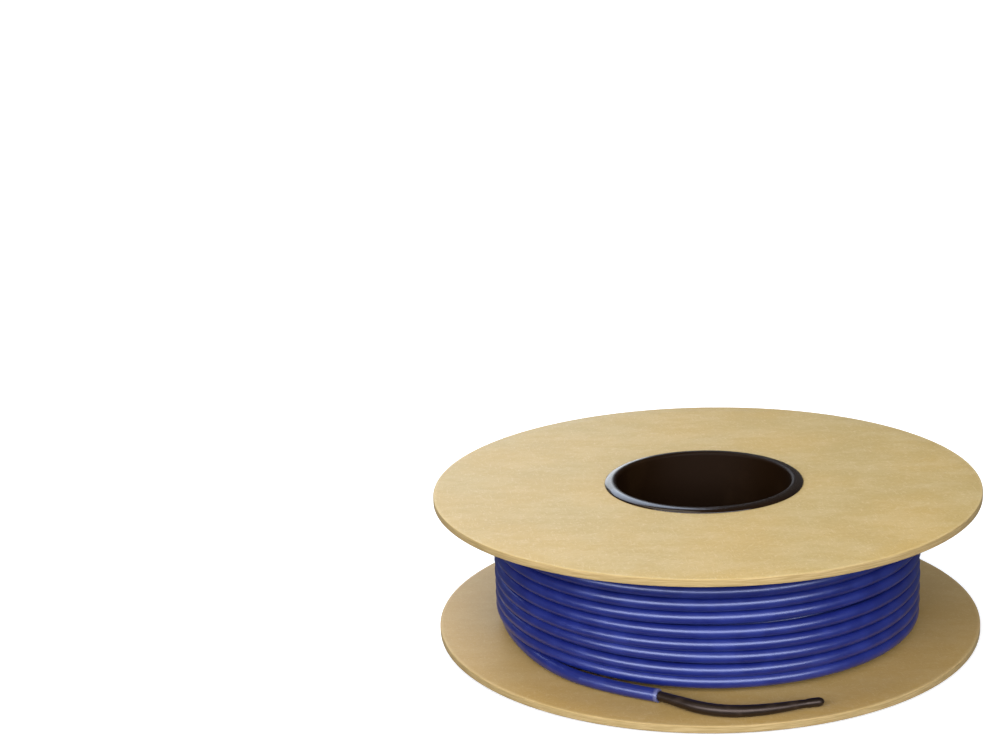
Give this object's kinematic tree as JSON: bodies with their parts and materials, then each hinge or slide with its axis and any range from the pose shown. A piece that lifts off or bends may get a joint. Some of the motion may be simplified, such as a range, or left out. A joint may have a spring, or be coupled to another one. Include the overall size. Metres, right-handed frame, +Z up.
{
  "type": "underfloor heating cable reel",
  "caption": "Thin underfloor heating cable wound on a flat reel with two round fibreboard flanges and an open plastic hub, its sealed free end lying on the lower flange.",
  "frame": {"origin": "on the reel's axis, in the plane of the lower lip that it stands on", "axes": "+Z up the reel's axis, from the lower flange to the upper one; -Y towards the side where the cable's free end lies"},
  "size_m": [0.22, 0.22, 0.0616],
  "materials": {
    "hub_plastic": "smooth glossy black moulding",
    "fibreboard": "plain uncoated 3 mm fibreboard, pale tan, faintly mottled",
    "cable_jacket": "smooth satin-gloss blue cable jacket",
    "heat_shrink": "satin black heat-shrink tubing"
  },
  "bodies": {
    "root": {"hub": "hub_plastic", "flange_lower": "fibreboard", "flange_upper": "fibreboard", "cable_winding": "cable_jacket", "cable_tail": "cable_jacket", "end_sleeve": "heat_shrink"}
  },
  "joints": []
}
